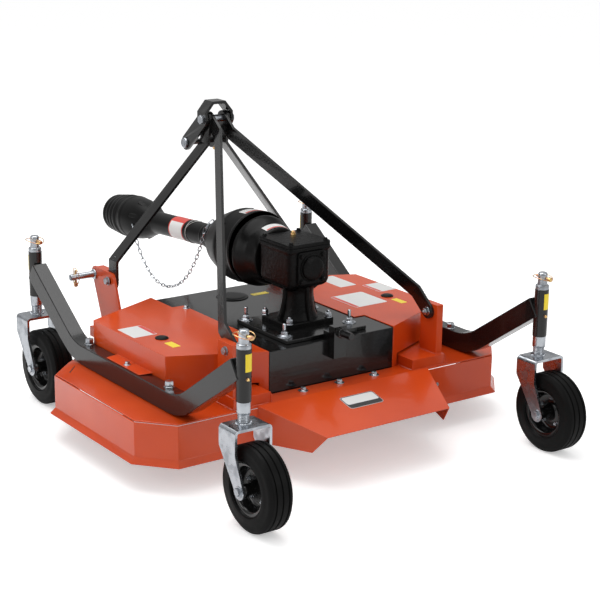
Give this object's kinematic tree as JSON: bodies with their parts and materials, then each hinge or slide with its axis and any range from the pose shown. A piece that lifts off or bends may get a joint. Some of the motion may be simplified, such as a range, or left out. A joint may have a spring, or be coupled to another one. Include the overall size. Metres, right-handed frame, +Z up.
{
  "type": "finishing mower for a tractor's three-point hitch",
  "caption": "Rear-discharge finishing mower for a small tractor's three-point hitch, with caster wheels, belt-driven blades and a guarded driveline.",
  "frame": {"origin": "on the ground, under the middle of the machine's outline, with the driveline at rest", "axes": "+Y forwards to the tractor, +X to the mower's right, +Z up"},
  "size_m": [1.4286, 1.9025, 1.0095],
  "materials": {
    "orange_paint": "gloss",
    "black_paint": "gloss",
    "black_casting": "painted, satin",
    "black_plastic": "satin",
    "zinc_plating": "bright zinc",
    "bare_steel": "satin",
    "chain_steel": "dull zinc",
    "wheel_rubber": "matte"
  },
  "bodies": {
    "mower": {"belt_cover_left": "orange_paint", "belt_cover_right": "orange_paint", "belt_tensioner": "black_paint", "cap_center": "black_plastic", "cap_left": "black_plastic", "cap_right": "black_plastic", "center_cover": "black_paint", "deck_plate": "orange_paint", "discharge_chute": "orange_paint", "driveline_guard_rear": "black_plastic", "gearbox_housing": "black_casting", "gearbox_plate": "black_paint", "guard_chain": "chain_steel", "hitch_pin_left": "zinc_plating", "hitch_pin_right": "zinc_plating", "hitch_rail_left": "orange_paint", "hitch_rail_right": "orange_paint", "input_shield": "black_plastic", "mast_bolt": "zinc_plating", "mast_brace_left": "black_paint", "mast_brace_right": "black_paint", "mast_strut_left": "black_paint", "mast_strut_right": "black_paint", "skirt_front": "orange_paint", "skirt_left": "orange_paint", "skirt_right": "orange_paint", "spindle_center": "black_casting", "spindle_left": "black_casting", "spindle_right": "black_casting", "wheel_rail_left": "black_paint", "wheel_rail_right": "black_paint"},
    "caster_rear_left": {"caster_fork_rear_left": "zinc_plating"},
    "wheel_rear_left": {"wheel_rim_rear_left": "black_paint", "tyre_rear_left": "wheel_rubber"},
    "caster_rear_right": {"caster_fork_rear_right": "zinc_plating"},
    "wheel_rear_right": {"wheel_rim_rear_right": "black_paint", "tyre_rear_right": "wheel_rubber"},
    "caster_front_left": {"caster_fork_front_left": "zinc_plating"},
    "wheel_front_left": {"wheel_rim_front_left": "black_paint", "tyre_front_left": "wheel_rubber"},
    "caster_front_right": {"caster_fork_front_right": "zinc_plating"},
    "wheel_front_right": {"wheel_rim_front_right": "black_paint", "tyre_front_right": "wheel_rubber"},
    "blade_center": {"blade_center": "bare_steel"},
    "blade_left": {"blade_left": "bare_steel"},
    "blade_right": {"blade_right": "bare_steel"},
    "drive_shaft": {"driveline_shaft_rear": "bare_steel"},
    "driveline_front": {"driveline_guard_front": "black_plastic"},
    "drive_yoke": {"driveline_yoke": "bare_steel"},
    "top_link_clevis": {"top_link_clevis": "black_paint"}
  },
  "joints": [
    {"name": "caster_swivel_rear_left", "type": "hinge", "parent": "mower", "child": "caster_rear_left", "pos_m": [-0.5595, -0.754, 0.435], "axis": [0, 0, 1], "continuous": true},
    {"name": "wheel_spin_rear_left", "type": "hinge", "parent": "caster_rear_left", "child": "wheel_rear_left", "pos_m": [-0.5595, -0.824, 0.127], "axis": [1, 0, 0], "continuous": true},
    {"name": "caster_swivel_rear_right", "type": "hinge", "parent": "mower", "child": "caster_rear_right", "pos_m": [0.5595, -0.754, 0.435], "axis": [0, 0, 1], "continuous": true},
    {"name": "wheel_spin_rear_right", "type": "hinge", "parent": "caster_rear_right", "child": "wheel_rear_right", "pos_m": [0.5595, -0.824, 0.127], "axis": [1, 0, 0], "continuous": true},
    {"name": "caster_swivel_front_left", "type": "hinge", "parent": "mower", "child": "caster_front_left", "pos_m": [-0.5595, 0.513, 0.435], "axis": [0, 0, 1], "continuous": true},
    {"name": "wheel_spin_front_left", "type": "hinge", "parent": "caster_front_left", "child": "wheel_front_left", "pos_m": [-0.5595, 0.443, 0.127], "axis": [1, 0, 0], "continuous": true},
    {"name": "caster_swivel_front_right", "type": "hinge", "parent": "mower", "child": "caster_front_right", "pos_m": [0.5595, 0.513, 0.435], "axis": [0, 0, 1], "continuous": true},
    {"name": "wheel_spin_front_right", "type": "hinge", "parent": "caster_front_right", "child": "wheel_front_right", "pos_m": [0.5595, 0.443, 0.127], "axis": [1, 0, 0], "continuous": true},
    {"name": "blade_spin_center", "type": "hinge", "parent": "mower", "child": "blade_center", "pos_m": [0, 0.161, 0.115], "axis": [0, 0, 1], "continuous": true},
    {"name": "blade_spin_left", "type": "hinge", "parent": "mower", "child": "blade_left", "pos_m": [-0.447, -0.124, 0.115], "axis": [0, 0, 1], "continuous": true},
    {"name": "blade_spin_right", "type": "hinge", "parent": "mower", "child": "blade_right", "pos_m": [0.447, -0.124, 0.115], "axis": [0, 0, 1], "continuous": true},
    {"name": "drive_shaft_spin", "type": "hinge", "parent": "mower", "child": "drive_shaft", "pos_m": [0, 0.064, 0.552], "axis": [0, 0.9978, -0.0663], "continuous": true},
    {"name": "driveline_slide", "type": "slide", "parent": "mower", "child": "driveline_front", "axis": [0, 0.9978, -0.0663], "range_m": [0, 0.2]},
    {"name": "drive_yoke_spin", "type": "hinge", "parent": "driveline_front", "child": "drive_yoke", "pos_m": [0, 0.76246, 0.50561], "axis": [0, 0.9978, -0.0663], "continuous": true},
    {"name": "top_link_swing", "type": "hinge", "parent": "mower", "child": "top_link_clevis", "pos_m": [0, 0.264, 0.949], "axis": [1, 0, 0], "range_deg": [0, 60]}
  ],
  "couplings": [
    {"joint": "blade_spin_left", "follows": "blade_spin_center", "ratio": 1},
    {"joint": "blade_spin_right", "follows": "blade_spin_center", "ratio": 1},
    {"joint": "drive_shaft_spin", "follows": "blade_spin_center", "ratio": 0.1923},
    {"joint": "drive_yoke_spin", "follows": "blade_spin_center", "ratio": 0.1923}
  ]
}
